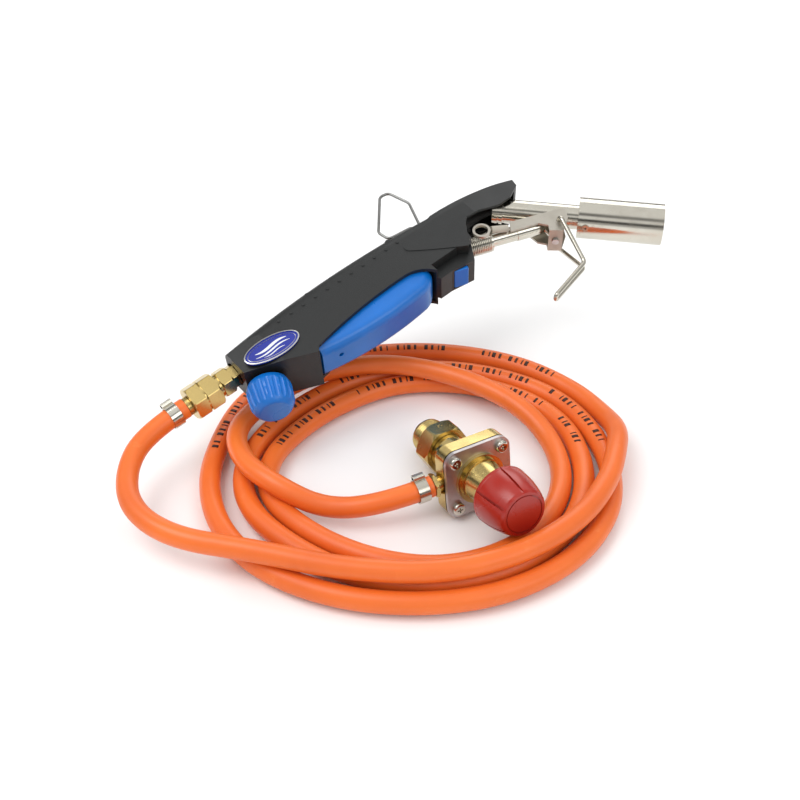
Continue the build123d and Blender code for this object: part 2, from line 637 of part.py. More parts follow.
def hose():
    """The gas hose: straight runs and tangent arcs along the route."""
    radii = bend_radii(HOSE_ROUTE)
    path = FilletPolyline(*HOSE_ROUTE, radius=radii)
    tube = sweep(Plane(path.location_at(0)) * Circle(HOSE_D / 2), path=path)
    print("hose radii", [round(r) for r in radii])
    print("hose length %.0f, volume %.0f, section x length %.0f"
          % (path.length, tube.volume, path.length * math.pi * HOSE_D ** 2 / 4))
    first, second = Vector(*HOSE_ROUTE[0]), Vector(*HOSE_ROUTE[1])
    last, before = Vector(*HOSE_ROUTE[-1]), Vector(*HOSE_ROUTE[-2])
    tube -= rod(first - (second - first) * 0.1, first + (second - first).normalized() * TAIL_IN, HOSE_BORE)
    return tube - rod(last - (before - last) * 0.1, last + (before - last).normalized() * TAIL_IN, HOSE_BORE)


def ear_clamp(along_x, turn):
    """A crimped one-ear clamp round a hose on the X axis."""
    band = pipe((along_x - 3.6, 0, 0), (along_x + 3.6, 0, 0), HOSE_D + 2.4, HOSE_D + 0.8)
    ear = Pos(along_x, 0, HOSE_D / 2 + 2.4) * Box(7.2, 5.2, 3.4)
    ear = fillet(ear.edges().filter_by(Axis.X), 1.1)
    ear -= Pos(along_x, 0, HOSE_D / 2 + 2.0) * Box(8.0, 3.4, 2.4)
    return Rot(X=turn) * (band + ear - rod((along_x - 5, 0, 0), (along_x + 5, 0, 0), HOSE_D + 0.8))


# ---- the regulator, on its own axis: +X to the red knob -------------------------------
def outlet_frame():
    """The outlet's own frame: +X from the middle of the body along the hose's last run."""
    last, before = Vector(*HOSE_ROUTE[-1]), Vector(*HOSE_ROUTE[-2])
    out = (before - last).normalized()
    up = Vector(0, 0, 1)
    return Location(Plane(origin=last - out * OUTLET_L, x_dir=out, z_dir=up - out * up.dot(out)))


def square(side, corner, thickness):
    """A square plate with round corners, its front face at X = 0."""
    return Plane.YZ * extrude(RectangleRounded(side, side, corner), -thickness)


def screw_places():
    """The four cover screws."""
    half = SCREW_PITCH / 2
    return [(y, z) for y in (-half, half) for z in (-half, half)]


def cover_plate():
    """The plated square cover with its raised rim."""
    plate_shape = square(BODY_SIDE, 8.0, COVER_T)
    plate_shape -= rod((-5, 0, 0), (5, 0, 0), 30.06)
    for y, z in screw_places():
        plate_shape -= rod((-5, y, z), (5, y, z), 4.3)
    return plate_shape


def diaphragm():
    """The rubber diaphragm, clamped between the cover and the body."""
    sheet = Pos(X=-COVER_T - 0.05) * square(BODY_SIDE - 1.0, 7.6, 0.8)
    for y, z in screw_places():
        sheet -= rod((-9, y, z), (5, y, z), 4.3)
    return sheet


def diaphragm_plate():
    """The metal plate under the spring, on the diaphragm."""
    return rod((-COVER_T, 0, 0), (-COVER_T + 1.0, 0, 0), 15.0)


def regulator_body():
    """The brass body: square flange, chamber, round neck and the captive nose of the inlet."""
    front = -COVER_T - 0.9
    body = Pos(X=front) * square(BODY_SIDE, 8.0, BODY_T - 3.0)
    shoulder = Plane.YZ.offset(front - BODY_T + 3.0) * Cylinder(19.0, 4.0, align=(Align.CENTER, Align.CENTER, Align.MAX))
    body += shoulder
    body += rod((-11.0, 0, 0), (-36.0, 0, 0), 25.0)
    body += rod((-36.0, 0, 0), (-64.0, 0, 0), 13.0)
    body += rod((-64.2, 0, 0), (-63.0, 0, 0), 17.0)
    body += Pos(-64.2, 0, 0) * Rot(Y=-90) * nose_dome()
    boss = REGULATOR.inverse() * outlet_frame()
    body += boss * rod((15.0, 0, 0), (24.2, 0, 0), 10.4)
    body -= rod((front - 5.5, 0, 0), (1, 0, 0), 26.0)
    body -= rod((-75.0, 0, 0), (-5.0, 0, 0), 5.0)
    body -= boss * rod((8.0, 0, 0), (27.0, 0, 0), 7.04)
    for y, z in screw_places():
        body -= rod((-30, y, z), (5, y, z), 4.04)
    return body


def nose_dome():
    """The rounded bull nose that seals in the cylinder's valve."""
    edge = Polyline((0, 0), (8.5, 0))
    curve = ThreePointArc((8.5, 0), (7.2, 3.9), (3.4, 6.4))
    end = Polyline((3.4, 6.4), (0, 6.4), (0, 0))
    return revolve(Plane.XZ * make_face(Curve() + [edge, curve, end]), Axis.Z)


def pol_nut():
    """The left-hand hexagon nut with its male thread; it turns on the nose."""
    nut = hexagon((-36.4, 0, 0), (-50.0, 0, 0), POL_HEX_AF, 30)
    nut += rod((-49.0, 0, 0), (-62.6, 0, 0), POL_THREAD_D)
    return nut - rod((-30, 0, 0), (-70, 0, 0), 13.1)


def valve_seat():
    """The small sprung valve inside the body that the diaphragm opens."""
    return rod((-20.0, 0, 0), (-4.4, 0, 0), 3.0) + rod((-24.0, 0, 0), (-20.0, 0, 0), 4.6)


def cover_screws():
    """Four plated pan-head screws with cross slots."""
    group = Part()
    for y, z in screw_places():
        head = Plane.YZ.offset(0.05) * Pos(y, z, 0) * Cylinder(4.1, 2.9, align=(Align.CENTER, Align.CENTER, Align.MIN))
        head = fillet(head.edges().sort_by(Axis.X)[-1], 1.4)
        cross = Pos(2.6, y, z) * (Box(1.8, 4.0, 0.9) + Box(1.8, 0.9, 4.0))
        group += head + rod((0.1, y, z), (-11.5, y, z), 4.0) - cross
    return group


def bonnet():
    """The stepped brass bonnet over the spring."""
    steps = rod((-COVER_T, 0, 0), (1.0, 0, 0), 30.0)
    steps += rod((0.05, 0, 0), (2.4, 0, 0), 33.0)
    steps += rod((2.0, 0, 0), (4.8, 0, 0), 29.0)
    steps += Pos(4.6, 0, 0) * Rot(Y=90) * Cone(13.6, 10.3, 15.0, align=(Align.CENTER, Align.CENTER, Align.MIN))
    steps += rod((8.0, 0, 0), (24.0, 0, 0), 20.0)
    steps -= rod((-5, 0, 0), (17.0, 0, 0), 17.0)
    return steps - rod((10, 0, 0), (30, 0, 0), 8.06)


def pressure_spring():
    """The adjusting spring between its plate and the spindle."""
    return coil_spring((-0.5, 0, 0), (12.4, 0, 0), 12.0, 1.6, 5)


def adjusting_spindle():
    """The spindle that the red knob turns, with its spring collar."""
    return rod((13.4, 0, 0), (40.0, 0, 0), 8.0) + rod((13.4, 0, 0), (15.6, 0, 0), 15.0)


def red_knob():
    """The red adjusting knob: it narrows to its end and has six grooves."""
    start, end = 22.0, 48.6
    side = Polyline((0, start), (17.4, start))
    curve = ThreePointArc((17.4, start), (18.9, start + 1.2), (19.2, start + 4.0))
    slope = ThreePointArc((19.2, start + 4.0), (18.2, end - 11.6), (15.4, end - 1.4))
    face = Polyline((15.4, end - 1.4), (14.2, end), (0, end), (0, start))
    knob = revolve(Plane.XZ * make_face(Curve() + [side, curve, slope, face]), Axis.Z)
    for index in range(6):
        groove = Pos(18.5, 0, start + 11.0) * Rot(Y=-9) * Box(2.6, 1.5, 34.0)
        knob -= Rot(Z=60 * index) * groove
    knob -= Pos(Z=end) * (Cylinder(12.6, 1.2) - Cylinder(11.8, 1.2))
    knob -= Pos(Z=start + 4.0) * Cylinder(10.6, 10.0)
    knob -= Pos(Z=start + 10.0) * Cylinder(4.02, 18.0)
    return Rot(Y=90) * knob


def outlet_tail():
    """The brass hose tail screwed into the side of the body."""
    tail = hexagon((24.5, 0, 0), (27.1, 0, 0), 14.0)
    tail += rod((16.0, 0, 0), (24.8, 0, 0), 7.0)
    tail += rod((27.0, 0, 0), (OUTLET_L - 0.4 + TAIL_IN, 0, 0), HOSE_BORE - 0.8)
    return tail - rod((15, 0, 0), (60, 0, 0), 4.0)


# ---- the whole assembly --------------------------------------------------------------
def torch_nodes():
    """Every piece that is built in the torch frame."""
    right, left = handle_shells()
    return {
        "handle_shell_right": right,
        "handle_shell_left": left,
        "front_hood": hood(),
        "oval_badge": badge(),
        "shell_screws": screws(),
        "hanging_hook": hanging_hook(),
        "inlet_adapter": inlet_adapter(),
        "union_nut": union_nut(),
        "torch_hose_tail": hose_tail(),
        "hose_clamp_torch": ear_clamp(-21.0, 35.0),
        "gas_valve_body": valve_body(),
        "valve_spindle": valve_spindle(),
        "valve_gland_nut": valve_nut(),
        "gas_knob": gas_knob(),
        "gas_pipe_rear": gas_pipe(),
        "gas_pipe_front": front_pipe(),
        "trigger_valve": trigger_valve(),
        "valve_plunger": valve_plunger(),
        "plunger_ring": plunger_ring(),
        "trigger_lever": trigger_lever(),
        "lever_pivot_pin": pivot_pin(),
        "lever_spring": lever_spring(),
        "ignition_button": ignition_button(),
        "piezo_plunger": piezo_plunger(),
        "piezo_unit": piezo_unit(),
        "ignition_lead": ignition_lead(),
        "electrode_sleeve": electrode_insulator(),
        "spark_electrode": spark_electrode(),
        "neck_tube": neck_tube(),
        "gas_jet": gas_jet(),
        "burner_tube": burner_tube(),
        "air_ring": air_ring(),
        "burner_cup": burner_cup(),
        "flame_holder": flame_holder(),
        "burner_rivet": burner_rivet(),
        "stand_bracket": stand_bracket(),
        "bracket_screw": bracket_screw(),
        "wire_stand": wire_stand(),
    }


def regulator_nodes():
    """Every piece that is built on the regulator's axis."""
    return {
        "regulator_body": regulator_body(),
        "pol_nut": pol_nut(),
        "regulator_valve": valve_seat(),
        "diaphragm": diaphragm(),
        "diaphragm_plate": diaphragm_plate(),
        "cover_plate": cover_plate(),
        "cover_screws": cover_screws(),
        "bonnet": bonnet(),
        "pressure_spring": pressure_spring(),
        "adjusting_spindle": adjusting_spindle(),
        "red_knob": red_knob(),
    }


def outlet_nodes():
    """The regulator's outlet, in the outlet's own frame."""
    return {
        "outlet_tail": outlet_tail(),
        "hose_clamp_regulator": ear_clamp(OUTLET_L + 7.2, 20.0),
    }


def main():
    """Place every piece in the row frame and write one STEP file for each."""
    placed = {name: TORCH * shape for name, shape in torch_nodes().items()}
    box = Compound(children=[shape.moved(Location()) for shape in placed.values()]).bounding_box()
    print("middle of the torch's box in the surface frame", box.center(), "size", box.size)
    placed.update({name: REGULATOR * shape for name, shape in regulator_nodes().items()})
    placed.update({name: outlet_frame() * shape for name, shape in outlet_nodes().items()})
    placed["gas_hose"] = hose()
    for name, shape in placed.items():
        export_step(TO_ROW * shape, "parts/" + name + ".step")
        print("%-22s %10.1f mm3, %d solid" % (name, shape.volume, len(shape.solids())))


main()
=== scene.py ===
"""The propane torch, its coiled hose and regulator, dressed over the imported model."""

import bmesh
import bpy
import json
import math
from mathutils import Matrix, Vector


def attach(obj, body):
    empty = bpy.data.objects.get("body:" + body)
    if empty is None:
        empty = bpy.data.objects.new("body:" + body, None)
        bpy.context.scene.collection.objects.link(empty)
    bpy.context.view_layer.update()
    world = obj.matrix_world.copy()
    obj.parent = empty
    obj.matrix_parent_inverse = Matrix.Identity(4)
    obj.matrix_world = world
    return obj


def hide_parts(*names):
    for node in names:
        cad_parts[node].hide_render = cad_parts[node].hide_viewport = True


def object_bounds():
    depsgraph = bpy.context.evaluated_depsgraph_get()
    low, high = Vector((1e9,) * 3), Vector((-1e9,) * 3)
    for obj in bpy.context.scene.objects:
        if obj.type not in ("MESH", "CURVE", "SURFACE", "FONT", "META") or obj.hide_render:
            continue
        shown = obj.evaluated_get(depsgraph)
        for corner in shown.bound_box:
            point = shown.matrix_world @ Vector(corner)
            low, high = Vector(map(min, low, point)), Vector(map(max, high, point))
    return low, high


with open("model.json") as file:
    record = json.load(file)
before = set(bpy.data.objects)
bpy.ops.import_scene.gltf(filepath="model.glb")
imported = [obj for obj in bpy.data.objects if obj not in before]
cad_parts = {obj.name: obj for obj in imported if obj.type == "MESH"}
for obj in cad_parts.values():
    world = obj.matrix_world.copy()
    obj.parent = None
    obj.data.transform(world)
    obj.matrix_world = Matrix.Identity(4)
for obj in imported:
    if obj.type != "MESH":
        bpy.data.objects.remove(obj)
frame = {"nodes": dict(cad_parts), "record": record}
cad_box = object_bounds()

# ---- frames ---------------------------------------------------------------------------
# The frame's origin, in metres on the surface that the hose lies on. The places of the torch,
# the regulator, the hose and the camera are given on that surface.
ROW_ORIGIN = Vector((0.02278, 0.02513, 0.07096))
TORCH_AT = Vector((-0.1278, -0.0511, 0.042))
TORCH_TURN = {"x": -78.0, "y": -12.8, "z": 39.0}
REGULATOR_AT = Vector((0.0486, -0.107, 0.0237))
REGULATOR_TURN = {"x": 0.0, "y": -10.0, "z": -60.5}
MM = Matrix.Scale(0.001, 4)


def turned(x=0.0, y=0.0, z=0.0):
    """A turn about Z, then the new Y, then the new X, in degrees."""
    return (Matrix.Rotation(math.radians(z), 4, "Z") @ Matrix.Rotation(math.radians(y), 4, "Y")
            @ Matrix.Rotation(math.radians(x), 4, "X"))


def along_axis(start, end):
    """A frame at start whose +Z runs to end."""
    start = Vector(start)
    end = Vector(end)
    return Matrix.Translation(start) @ (end - start).to_track_quat("Z", "Y").to_matrix().to_4x4()


# Both frames take millimetres: +X runs along the handle, and along the regulator from nut to knob.
TORCH_MM = Matrix.Translation(TORCH_AT - ROW_ORIGIN) @ turned(**TORCH_TURN) @ MM
REGULATOR_MM = Matrix.Translation(REGULATOR_AT - ROW_ORIGIN) @ turned(**REGULATOR_TURN) @ MM


# ---- node helpers -----------------------------------------------------------------------
class Nodes:
    """A short way to build a material's nodes."""

    def __init__(self, name):
        self.material = bpy.data.materials.new(name)
        self.material.use_nodes = True
        self.tree = self.material.node_tree
        self.shader = self.tree.nodes["Principled BSDF"]
        coordinates = self.tree.nodes.new("ShaderNodeTexCoord")
        self.place = coordinates.outputs["Object"]

    def put(self, node, socket, value):
        """Link a socket to an input, or set the input to a constant."""
        if isinstance(value, bpy.types.NodeSocket):
            self.tree.links.new(value, node.inputs[socket])
        else:
            node.inputs[socket].default_value = value

    def add(self, kind, inputs=(), **settings):
        """A node with its settings and inputs."""
        node = self.tree.nodes.new(kind)
        for key, value in settings.items():
            setattr(node, key, value)
        for socket, value in dict(inputs).items():
            self.put(node, socket, value)
        return node

    def noise(self, scale, detail=4.0, rough=0.55, stretch=None):
        """Noise in the object's own space, stretched if asked."""
        vector = self.place
        if stretch:
            vector = self.add("ShaderNodeMapping", {"Vector": vector, "Scale": stretch}).outputs[0]
        inputs = {"Vector": vector, "Scale": scale, "Detail": detail, "Roughness": rough}
        return self.add("ShaderNodeTexNoise", inputs).outputs["Fac"]

    def band(self, value, low, high, to_low=0.0, to_high=1.0):
        """A value between low and high mapped to to_low and to_high, and held there outside."""
        return self.add("ShaderNodeMapRange", {0: value, 1: low, 2: high, 3: to_low, 4: to_high}).outputs[0]

    def mix(self, factor, first, second):
        """Two colours mixed by a factor. Either can be a socket or three numbers."""
        node = self.add("ShaderNodeMix", data_type="RGBA")
        self.put(node, 0, factor)
        for socket, colour in ((6, first), (7, second)):
            is_socket = isinstance(colour, bpy.types.NodeSocket)
            self.put(node, socket, colour if is_socket else (*colour[:3], 1.0))
        return node.outputs[2]

    def math(self, kind, first, second):
        """Two values added, multiplied or the like."""
        return self.add("ShaderNodeMath", {0: first, 1: second}, operation=kind).outputs[0]

    def bump(self, height, strength, distance, normal=None):
        """Relief from a height, over another relief if one is given."""
        inputs = {"Height": height, "Strength": strength, "Distance": distance}
        if normal is not None:
            inputs["Normal"] = normal
        return self.add("ShaderNodeBump", inputs).outputs[0]

    def wire(self, socket, value):
        """Link a value to the shader."""
        self.tree.links.new(value, self.shader.inputs[socket])

    def set(self, **values):
        """Set constants on the shader's own sockets."""
        for key, value in values.items():
            self.shader.inputs[key.replace("_", " ")].default_value = value


# ---- materials --------------------------------------------------------------------------
def plastic(name, colour, rough, grain, grain_scale, wear, coat=0.0):
    """Moulded plastic: mould grain, rubbed patches and faint scratches."""
    n = Nodes(name)
    patches = n.noise(18.0, 5.0)
    fine = n.noise(grain_scale, 2.0, 0.6)
    scratches = n.band(n.noise(90.0, 3.0, 0.7, stretch=(0.12, 1.0, 1.0)), 0.64, 0.72)
    shaded = [c * 0.78 for c in colour]
    rubbed = [min(1.0, c * 1.5 + 0.03) for c in colour]
    base = n.mix(n.band(patches, 0.35, 0.7), colour, shaded)
    base = n.mix(n.math("MULTIPLY", scratches, wear), base, rubbed)
    n.wire("Base Color", base)
    n.wire("Roughness", n.band(patches, 0.3, 0.75, rough - 0.06, rough + 0.1))
    coarse = n.bump(patches, 0.08, 0.0006)
    n.wire("Normal", n.bump(fine, grain, 0.0002, coarse))
    n.set(Coat_Weight=coat, Coat_Roughness=0.25)
    return n.material


def metal(name, colour, dull, rough, tarnish, stretch=(1.0, 1.0, 1.0), lines=0.12):
    """Turned or plated metal: fine tool lines, cloudy tarnish and small nicks."""
    n = Nodes(name)
    cloud = n.noise(38.0, 6.0, 0.6)
    fine = n.noise(900.0, 2.0, 0.5, stretch=stretch)
    nicks = n.band(n.noise(240.0, 3.0, 0.7), 0.66, 0.72)
    nick_colour = [c * 0.6 for c in dull]
    base = n.mix(n.math("MULTIPLY", n.band(cloud, 0.42, 0.72), tarnish), colour, dull)
    base = n.mix(n.math("MULTIPLY", nicks, 0.35), base, nick_colour)
    n.wire("Base Color", base)
    clouded = n.band(cloud, 0.3, 0.8, rough - 0.05, rough + 0.14)
    n.wire("Roughness", n.math("ADD", clouded, n.math("MULTIPLY", nicks, 0.2)))
    n.wire("Normal", n.bump(nicks, 0.15, 0.0002, n.bump(fine, lines, 0.00012)))
    n.set(Metallic=1.0)
    return n.material


def rubber_hose(name):
    """Smooth extruded orange rubber with a soft bloom and scuffs."""
    n = Nodes(name)
    cloud = n.noise(14.0, 5.0, 0.55)
    scuff = n.band(n.noise(70.0, 5.0, 0.7), 0.62, 0.74)
    base = n.mix(n.band(cloud, 0.35, 0.7), (0.82, 0.165, 0.024), (0.7, 0.125, 0.016))
    base = n.mix(n.math("MULTIPLY", scuff, 0.35), base, (0.84, 0.25, 0.07))
    n.wire("Base Color", base)
    n.wire("Roughness", n.band(cloud, 0.3, 0.75, 0.3, 0.46))
    n.wire("Normal", n.bump(n.noise(420.0, 3.0), 0.06, 0.0003, n.bump(cloud, 0.05, 0.001)))
    n.set(Specular_IOR_Level=0.45, Subsurface_Weight=0.04, Subsurface_Scale=0.002)
    return n.material


# Colour, roughness, strength and scale of the mould grain, how much scratches show, and coat.
PLASTICS = {
    "handle_black": ((0.009, 0.010, 0.010), 0.44, 0.5, 1500.0, 0.3),
    "lever_blue": ((0.001, 0.15, 0.56), 0.32, 0.12, 1100.0, 0.2, 0.2),
    "badge": ((0.006, 0.02, 0.3), 0.16, 0.05, 1300.0, 0.1, 0.4),
    "badge_print": ((0.8, 0.82, 0.85), 0.35, 0.05, 900.0, 0.1),
    "red_knob": ((0.37, 0.016, 0.008), 0.26, 0.14, 1000.0, 0.3, 0.2),
    "black_rubber": ((0.02, 0.02, 0.02), 0.6, 0.3, 900.0, 0.2),
    "ceramic": ((0.45, 0.41, 0.34), 0.3, 0.2, 700.0, 0.3),
    "lead_black": ((0.02, 0.02, 0.02), 0.4, 0.2, 900.0, 0.2),
    "hose_ink": ((0.05, 0.015, 0.008), 0.5, 0.1, 900.0, 0.2),
}
# Clean colour, dull colour, roughness, share of tarnish, stretch of the tool lines and their depth.
METALS = {
    "brass": ((0.66, 0.5, 0.2), (0.46, 0.33, 0.12), 0.2, 0.6, (1.0, 1.0, 0.25)),
    "nickel": ((0.66, 0.63, 0.55), (0.46, 0.42, 0.34), 0.15, 0.5, (0.3, 1.0, 1.0), 0.06),
    "dark_steel": ((0.3, 0.3, 0.29), (0.16, 0.16, 0.15), 0.32, 0.6),
    "zinc": ((0.6, 0.57, 0.56), (0.42, 0.36, 0.35), 0.36, 0.8),
    "bracket_grey": ((0.5, 0.47, 0.41), (0.4, 0.37, 0.32), 0.42, 0.7),
    "steel": ((0.62, 0.62, 0.62), (0.3, 0.29, 0.27), 0.28, 0.6),
}
MATERIALS = {name: plastic(name, *look) for name, look in PLASTICS.items()}
MATERIALS.update({name: metal(name, *look) for name, look in METALS.items()})
MATERIALS["hose_orange"] = rubber_hose("hose_orange")

# Nodes that look different from the rest of their material slot.
OWN_LOOK = {
    "cover_plate": "zinc",
    "hanging_hook": "dark_steel",
    "spark_electrode": "bracket_grey",
    "stand_bracket": "bracket_grey",
    "neck_tube": "nickel",
    "gas_pipe_front": "nickel",
}
for part in frame["record"]["subparts"]:
    node = frame["nodes"][part["node"]]
    node.data.materials.clear()
    node.data.materials.append(MATERIALS[OWN_LOOK.get(part["node"], part["material_slot"])])

# Nodes whose edges are rounded in the picture only, with the width in metres.
EDGE_ROUNDS = {"front_hood": 0.0012, "trigger_lever": 0.0006, "ignition_button": 0.0006}
SHARP_ABOVE_DEGREES = 35
for name, width in EDGE_ROUNDS.items():
    rounding = frame["nodes"][name].modifiers.new("edge_round", "BEVEL")
    rounding.width = width
    rounding.segments = 3
    rounding.limit_method = "ANGLE"
    rounding.angle_limit = math.radians(SHARP_ABOVE_DEGREES)


# ---- small pieces -----------------------------------------------------------------------
WELD_DISTANCE = 1e-7


def add_piece(name, vertices, faces, matrix, material, body, slot_name, smooth=True):
    """A new mesh piece that rides on a body."""
    mesh = bpy.data.meshes.new(name)
    mesh.from_pydata([tuple(matrix @ Vector(v)) for v in vertices], [], faces)
    edit = bmesh.new()
    edit.from_mesh(mesh)
    bmesh.ops.remove_doubles(edit, verts=edit.verts, dist=WELD_DISTANCE)
    bmesh.ops.recalc_face_normals(edit, faces=edit.faces)
    edit.to_mesh(mesh)
    edit.free()
    if smooth:
        mesh.shade_smooth()
    else:
        mesh.shade_flat()
    mesh.materials.append(material)
    piece = bpy.data.objects.new(name, mesh)
    bpy.context.collection.objects.link(piece)
    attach(piece, body)
    return piece


def thread_sleeve(name, matrix, length, radius, pitch, depth, material, body, slot_name):
    """A helical thread on +Z, faded out over one pitch at both ends, on a thin sleeve."""
    around = 72
    steps_per_pitch = 8
    wall = 0.3
    steps = int(length / pitch * steps_per_pitch)
    inside = radius - wall
    vertices = []
    faces = []
    for i in range(steps + 1):
        z = length * i / steps
        fade = min(1.0, z / pitch, (length - z) / pitch)
        for j in range(around):
            turn = math.tau * j / around
            phase = (z / pitch - j / around) % 1.0
            r = radius + depth * fade * (1 - abs(2 * phase - 1))
            vertices.append((r * math.cos(turn), r * math.sin(turn), z))
    base = len(vertices)
    for z in (0.0, length):
        for j in range(around):
            turn = math.tau * j / around
            vertices.append((inside * math.cos(turn), inside * math.sin(turn), z))
    top = steps * around
    for j in range(around):
        k = (j + 1) % around
        for i in range(steps):
            faces.append((i * around + j, i * around + k, (i + 1) * around + k, (i + 1) * around + j))
        faces.append((base + j, base + k, k, j))
        faces.append((top + j, top + k, base + around + k, base + around + j))
        faces.append((base + around + j, base + around + k, base + k, base + j))
    return add_piece(name, vertices, faces, matrix, material, body, slot_name)


def ellipse_band(outer, inner, low, high):
    """A ring between two ellipses, thick along Z, whose outer edge is a little lower."""
    around = 96
    outer_drop = 0.15
    outer_high = high - outer_drop
    vertices = []
    faces = []
    for j in range(around):
        turn = math.tau * j / around
        for (a, b), z in ((outer, low), (outer, outer_high), (inner, high), (inner, low)):
            vertices.append((a * math.cos(turn), b * math.sin(turn), z))
    for j in range(around):
        k = (j + 1) % around
        for i in range(4):
            faces.append((4 * j + i, 4 * k + i, 4 * k + (i + 1) % 4, 4 * j + (i + 1) % 4))
    return vertices, faces


def wave_strip(reach, height, lift, width, low, high):
    """A curved raised strip that tapers to both ends."""
    steps = 40
    swing = 2.6
    taper = 0.85
    vertices = []
    faces = []
    for i in range(steps + 1):
        t = -1 + 2 * i / steps
        x = reach * t
        y = lift + height * math.sin(swing * t)
        half = width * (1 - taper * t * t) / 2
        vertices += [(x, y - half, low), (x, y - half, high), (x, y + half, high), (x, y + half, low)]
        if i:
            for j in range(4):
                k = (j + 1) % 4
                faces.append((4 * i - 4 + j, 4 * i - 4 + k, 4 * i + k, 4 * i + j))
    faces += [(0, 1, 2, 3), (4 * steps, 4 * steps + 3, 4 * steps + 2, 4 * steps + 1)]
    return vertices, faces


# The outside thread of the cylinder nut, in the regulator's millimetres.
POL_THREAD_START = (-62.4, 0, 0)
POL_THREAD_TOWARDS = (-50.0, 0, 0)
pol_thread = REGULATOR_MM @ along_axis(POL_THREAD_START, POL_THREAD_TOWARDS)
thread_sleeve("pol_thread_ridges", pol_thread, length=12.2, radius=11.42, pitch=1.814, depth=0.5,
              material=MATERIALS["brass"], body="pol_nut", slot_name="brass")

# The thread at the neck's root, in the torch's millimetres. The neck slopes down from the handle.
NECK_SLOPE_DEGREES = 22
NECK_ROOT = Vector((215.0, 0, -20.9))
THREAD_BEFORE_ROOT = 6.0
slope = math.radians(NECK_SLOPE_DEGREES)
neck_direction = Vector((math.cos(slope), 0, -math.sin(slope)))
neck_start = NECK_ROOT - THREAD_BEFORE_ROOT * neck_direction
neck_thread = TORCH_MM @ along_axis(neck_start, neck_start + neck_direction)
thread_sleeve("neck_thread_ridges", neck_thread, length=21.0, radius=7.78, pitch=1.3, depth=0.5,
              material=MATERIALS["nickel"], body="torch", slot_name="nickel")

# The badge's rims and waves, in millimetres on the badge: X along it, Z out of the handle's side.
BADGE_MIDDLE = (51.5, -18.05, -11.5)
BADGE_TILT = -6
badge = TORCH_MM @ Matrix.Translation(BADGE_MIDDLE) @ turned(x=90) @ turned(z=BADGE_TILT)
rim = ellipse_band((20.0, 9.0), (19.1, 8.1), 0.6, 1.35)
add_piece("badge_rim", *rim, badge, MATERIALS["steel"], "torch", "badge", smooth=False)
inner_rim = ellipse_band((17.6, 6.8), (17.25, 6.45), 0.5, 0.98)
add_piece("badge_inner_rim", *inner_rim, badge, MATERIALS["steel"], "torch", "badge", smooth=False)
# Half length, height of the wave, distance from the badge's middle and width of each wave.
WAVES = ((12.0, 1.3, 1.6, 2.1), (13.0, 1.3, -1.4, 1.3), (8.0, 0.8, -3.9, 0.8))
for index, wave in enumerate(WAVES):
    piece_name = "badge_wave_%d" % (index + 1)
    strip = wave_strip(*wave, 0.5, 0.95)
    add_piece(piece_name, *strip, badge, MATERIALS["badge_print"], "torch", "badge", smooth=False)


# ---- the hose ---------------------------------------------------------------------------
HOSE_D = 0.0135
ROUTE = [
    # out of the torch and down across the front, over the other turns
    (-0.137, -0.0585, 0.0395), (-0.16, -0.077, 0.033), (-0.168, -0.105, 0.028), (-0.161, -0.135, 0.024),
    (-0.133, -0.157, 0.0215), (-0.086, -0.166, 0.0205), (-0.03, -0.181, 0.02), (0.025, -0.184, 0.02),
    (0.072, -0.168, 0.0205), (0.108, -0.14, 0.021), (0.129, -0.106, 0.021), (0.137, -0.08, 0.021),
    (0.143, -0.054, 0.017), (0.139, -0.026, 0.007),
    # the outer turn, on the floor
    (0.122, 0.002, 0.007), (0.088, 0.031, 0.007), (0.045, 0.046, 0.007), (0, 0.049, 0.007),
    (-0.045, 0.04, 0.007), (-0.084, 0.018, 0.007), (-0.108, -0.012, 0.007), (-0.119, -0.052, 0.007),
    (-0.122, -0.094, 0.007), (-0.109, -0.136, 0.007), (-0.08, -0.17, 0.007), (-0.035, -0.191, 0.007),
    (0.015, -0.196, 0.007), (0.062, -0.187, 0.007), (0.104, -0.16, 0.007), (0.13, -0.12, 0.007),
    (0.136, -0.08, 0.007), (0.128, -0.04, 0.007),
    # the middle turn
    (0.107, -0.004, 0.007), (0.069, 0.019, 0.007), (0.025, 0.028, 0.007), (-0.022, 0.02, 0.007),
    (-0.06, -0.006, 0.007), (-0.088, -0.041, 0.007), (-0.102, -0.08, 0.007), (-0.094, -0.118, 0.007),
    (-0.066, -0.149, 0.007), (-0.028, -0.174, 0.007), (0.015, -0.182, 0.007), (0.059, -0.173, 0.007),
    (0.093, -0.148, 0.007), (0.114, -0.113, 0.007), (0.119, -0.072, 0.007), (0.11, -0.034, 0.007),
    # the inner turn
    (0.085, -0.006, 0.007), (0.045, 0.011, 0.007), (0, 0.011, 0.007), (-0.036, -0.009, 0.007),
    (-0.066, -0.038, 0.007), (-0.086, -0.074, 0.007), (-0.081, -0.111, 0.007), (-0.051, -0.142, 0.007),
    (-0.014, -0.162, 0.007), (0.025, -0.168, 0.007), (0.063, -0.1555, 0.007), (0.09, -0.129, 0.007),
    (0.104, -0.093, 0.007),
    # up onto the turns at the back, round on the left and into the regulator
    (0.101, -0.055, 0.008), (0.081, -0.027, 0.017), (0.047, -0.004, 0.021), (0.008, 0.013, 0.021),
    (-0.03, 0.014, 0.021), (-0.066, 0.003, 0.018), (-0.096, -0.024, 0.014), (-0.108, -0.058, 0.019),
    (-0.099, -0.09, 0.022), (-0.077, -0.112, 0.022), (-0.046, -0.1215, 0.01), (-0.01, -0.124, 0.0166),
    (0.0194, -0.1108, 0.0196),
]
curve = bpy.data.curves.new("gas_hose_line", "CURVE")
curve.dimensions = "3D"
curve.resolution_u = 10
curve.bevel_depth = HOSE_D / 2
curve.bevel_resolution = 7
curve.use_fill_caps = True
line = curve.splines.new("NURBS")
